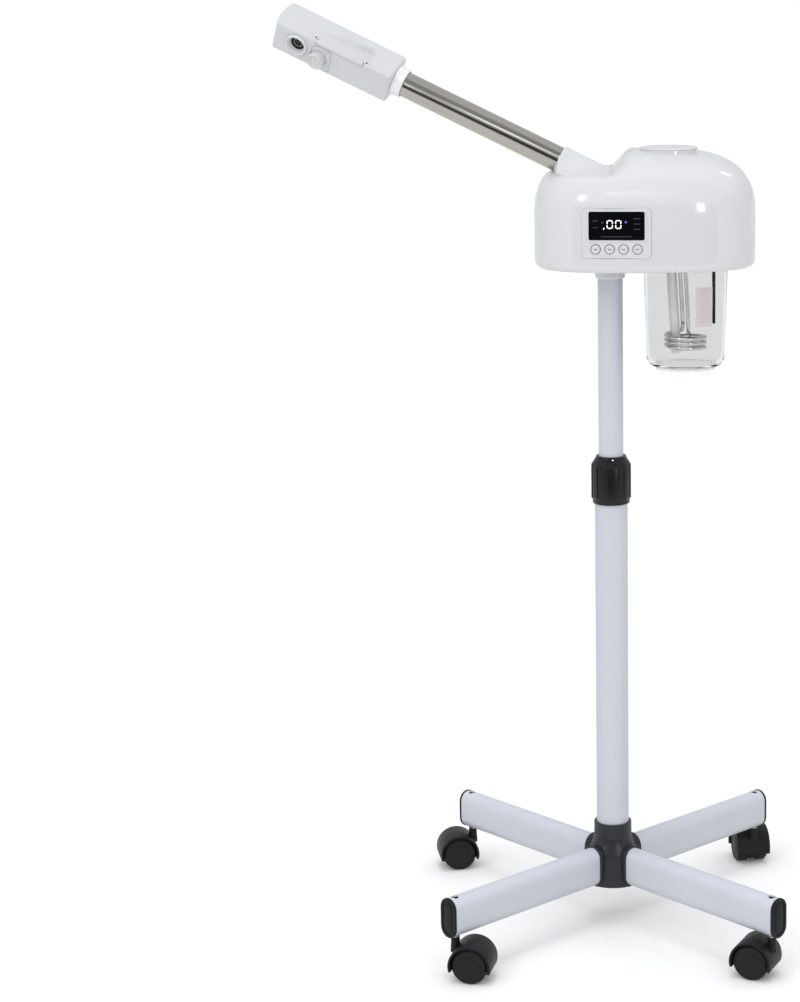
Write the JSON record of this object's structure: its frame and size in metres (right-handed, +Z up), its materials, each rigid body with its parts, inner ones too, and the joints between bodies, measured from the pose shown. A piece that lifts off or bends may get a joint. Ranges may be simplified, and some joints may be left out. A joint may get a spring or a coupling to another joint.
{
  "type": "facial steamer",
  "caption": "Floor-standing facial steamer on a wheeled base with telescopic column, clear water jar, control housing and a tilted arm with a square nozzle head.",
  "frame": {"origin": "middle of the footprint box, on the floor plane under the casters", "axes": "+Z up, the control panel faces -Y, the arm reaches towards -X"},
  "size_m": [0.5102, 0.3764, 0.9443],
  "materials": {
    "gloss_white": "glossy injection-moulded white plastic, very slightly cool",
    "coated_white": "fine satin white powder coat on steel tube",
    "black_plastic": "fine-textured black plastic",
    "dark_grey_plastic": "satin dark slate moulded plastic",
    "brushed_steel": "stainless steel, brushed along its length",
    "clear_plastic": "clear glass or polycarbonate, polished",
    "wheel_rubber": "hard black wheel tread",
    "silicone": "translucent white silicone rubber",
    "screen": "black tinted display window",
    "circuit_board": "green solder mask",
    "natural_plastic": "natural white acetal, matte"
  },
  "bodies": {
    "base": {"hub": "dark_grey_plastic", "leg_front_left": "coated_white", "leg_front_right": "coated_white", "leg_back_left": "coated_white", "leg_back_right": "coated_white", "leg_cap_front_left": "black_plastic", "leg_cap_front_right": "black_plastic", "leg_cap_back_left": "black_plastic", "leg_cap_back_right": "black_plastic", "caster_stem_front_left": "brushed_steel", "caster_stem_front_right": "brushed_steel", "caster_stem_back_left": "brushed_steel", "caster_stem_back_right": "brushed_steel", "lower_mast": "coated_white", "hub_screw": "black_plastic", "collet": "natural_plastic"},
    "lock_ring": {"lock_collar": "black_plastic"},
    "mast": {"upper_mast": "coated_white", "mast_bush": "natural_plastic", "mast_adapter": "gloss_white", "swivel_nut": "brushed_steel"},
    "housing": {"base_plate": "gloss_white", "housing_shell": "gloss_white", "control_panel": "gloss_white", "display_window": "screen", "control_board": "circuit_board", "jar_collar": "black_plastic", "jar_seal": "silicone", "heater_flange": "black_plastic", "heating_coil": "brushed_steel", "steam_tube": "brushed_steel", "level_probe": "black_plastic", "steam_duct": "silicone", "mains_inlet": "black_plastic"},
    "lid": {"filler_lid": "gloss_white"},
    "jar_body": {"jar": "clear_plastic"},
    "arm": {"arm_tube": "brushed_steel"},
    "head": {"head_shell": "gloss_white", "head_neck": "gloss_white", "nozzle_ring": "gloss_white", "nozzle_core": "black_plastic", "grip_bar": "gloss_white"},
    "cup": {"aroma_cup": "clear_plastic"},
    "key_1": {"button_1": "gloss_white"},
    "key_2": {"button_2": "gloss_white"},
    "key_3": {"button_3": "gloss_white"},
    "key_4": {"button_4": "gloss_white"},
    "caster_front_left": {"caster_body_front_left": "black_plastic"},
    "roller_front_left_a": {"wheel_front_left_a": "wheel_rubber"},
    "roller_front_left_b": {"wheel_front_left_b": "wheel_rubber"},
    "caster_front_right": {"caster_body_front_right": "black_plastic"},
    "roller_front_right_a": {"wheel_front_right_a": "wheel_rubber"},
    "roller_front_right_b": {"wheel_front_right_b": "wheel_rubber"},
    "caster_back_left": {"caster_body_back_left": "black_plastic"},
    "roller_back_left_a": {"wheel_back_left_a": "wheel_rubber"},
    "roller_back_left_b": {"wheel_back_left_b": "wheel_rubber"},
    "caster_back_right": {"caster_body_back_right": "black_plastic"},
    "roller_back_right_a": {"wheel_back_right_a": "wheel_rubber"},
    "roller_back_right_b": {"wheel_back_right_b": "wheel_rubber"}
  },
  "joints": [
    {"name": "mast_slide", "type": "slide", "parent": "base", "child": "mast", "axis": [0, 0, 1], "range_m": [-0.16, 0.14]},
    {"name": "lock_turn", "type": "hinge", "parent": "base", "child": "lock_ring", "pos_m": [0.08095, -0.00826, 0.4694], "axis": [0, 0, 1], "range_deg": [-45, 45]},
    {"name": "housing_swivel", "type": "hinge", "parent": "mast", "child": "housing", "pos_m": [0.08095, -0.00826, 0.6974], "axis": [0, 0, 1], "range_deg": [-170, 170]},
    {"name": "arm_turn", "type": "hinge", "parent": "housing", "child": "arm", "pos_m": [0.03206, -0.00826, 0.7902], "axis": [-0.8907, 0.1411, 0.4321], "range_deg": [-90, 90]},
    {"name": "head_turn", "type": "hinge", "parent": "arm", "child": "head", "pos_m": [-0.12471, 0.01657, 0.86625], "axis": [-0.8907, 0.1411, 0.4321], "range_deg": [-120, 120]},
    {"name": "cup_pull", "type": "slide", "parent": "head", "child": "cup", "axis": [-0.3729, -0.7703, -0.5173], "range_m": [0, 0.02]},
    {"name": "jar_drop", "type": "slide", "parent": "housing", "child": "jar_body", "axis": [0, 0, -1], "range_m": [0, 0.125]},
    {"name": "lid_lift", "type": "slide", "parent": "housing", "child": "lid", "axis": [0, 0, 1], "range_m": [0, 0.03]},
    {"name": "button_1_press", "type": "slide", "parent": "housing", "child": "key_1", "axis": [0.0837, 0.9965, 0], "range_m": [0, 0.0005], "stiffness_N_per_m": 600, "springref_m": -0.0015},
    {"name": "button_2_press", "type": "slide", "parent": "housing", "child": "key_2", "axis": [0.0837, 0.9965, 0], "range_m": [0, 0.0005], "stiffness_N_per_m": 600, "springref_m": -0.0015},
    {"name": "button_3_press", "type": "slide", "parent": "housing", "child": "key_3", "axis": [0.0837, 0.9965, 0], "range_m": [0, 0.0005], "stiffness_N_per_m": 600, "springref_m": -0.0015},
    {"name": "button_4_press", "type": "slide", "parent": "housing", "child": "key_4", "axis": [0.0837, 0.9965, 0], "range_m": [0, 0.0005], "stiffness_N_per_m": 600, "springref_m": -0.0015},
    {"name": "front_left_swivel", "type": "hinge", "parent": "base", "child": "caster_front_left", "pos_m": [-0.07426, -0.16347, 0.0374], "axis": [0, 0, 1], "continuous": true},
    {"name": "front_left_roll_a", "type": "hinge", "parent": "caster_front_left", "child": "roller_front_left_a", "pos_m": [-0.0556, -0.15559, 0.018], "axis": [0.1736, 0.9848, 0], "continuous": true},
    {"name": "front_left_roll_b", "type": "hinge", "parent": "caster_front_left", "child": "roller_front_left_b", "pos_m": [-0.05942, -0.17725, 0.018], "axis": [0.1736, 0.9848, 0], "continuous": true},
    {"name": "front_right_swivel", "type": "hinge", "parent": "base", "child": "caster_front_right", "pos_m": [0.23617, -0.16347, 0.0374], "axis": [0, 0, 1], "continuous": true},
    {"name": "front_right_roll_a", "type": "hinge", "parent": "caster_front_right", "child": "roller_front_right_a", "pos_m": [0.21622, -0.16695, 0.018], "axis": [-0.3907, -0.9205, 0], "continuous": true},
    {"name": "front_right_roll_b", "type": "hinge", "parent": "caster_front_right", "child": "roller_front_right_b", "pos_m": [0.22481, -0.1467, 0.018], "axis": [-0.3907, -0.9205, 0], "continuous": true},
    {"name": "back_left_swivel", "type": "hinge", "parent": "base", "child": "caster_back_left", "pos_m": [-0.07426, 0.14695, 0.0374], "axis": [0, 0, 1], "continuous": true},
    {"name": "back_left_roll_a", "type": "hinge", "parent": "caster_back_left", "child": "roller_back_left_a", "pos_m": [-0.0886, 0.13266, 0.018], "axis": [0.2079, -0.9781, 0], "continuous": true},
    {"name": "back_left_roll_b", "type": "hinge", "parent": "caster_back_left", "child": "roller_back_left_b", "pos_m": [-0.09317, 0.15418, 0.018], "axis": [0.2079, -0.9781, 0], "continuous": true},
    {"name": "back_right_swivel", "type": "hinge", "parent": "base", "child": "caster_back_right", "pos_m": [0.23617, 0.14695, 0.0374], "axis": [0, 0, 1], "continuous": true},
    {"name": "back_right_roll_a", "type": "hinge", "parent": "caster_back_right", "child": "roller_back_right_a", "pos_m": [0.22187, 0.16129, 0.018], "axis": [-0.9781, -0.2079, 0], "continuous": true},
    {"name": "back_right_roll_b", "type": "hinge", "parent": "caster_back_right", "child": "roller_back_right_b", "pos_m": [0.24339, 0.16587, 0.018], "axis": [-0.9781, -0.2079, 0], "continuous": true}
  ]
}
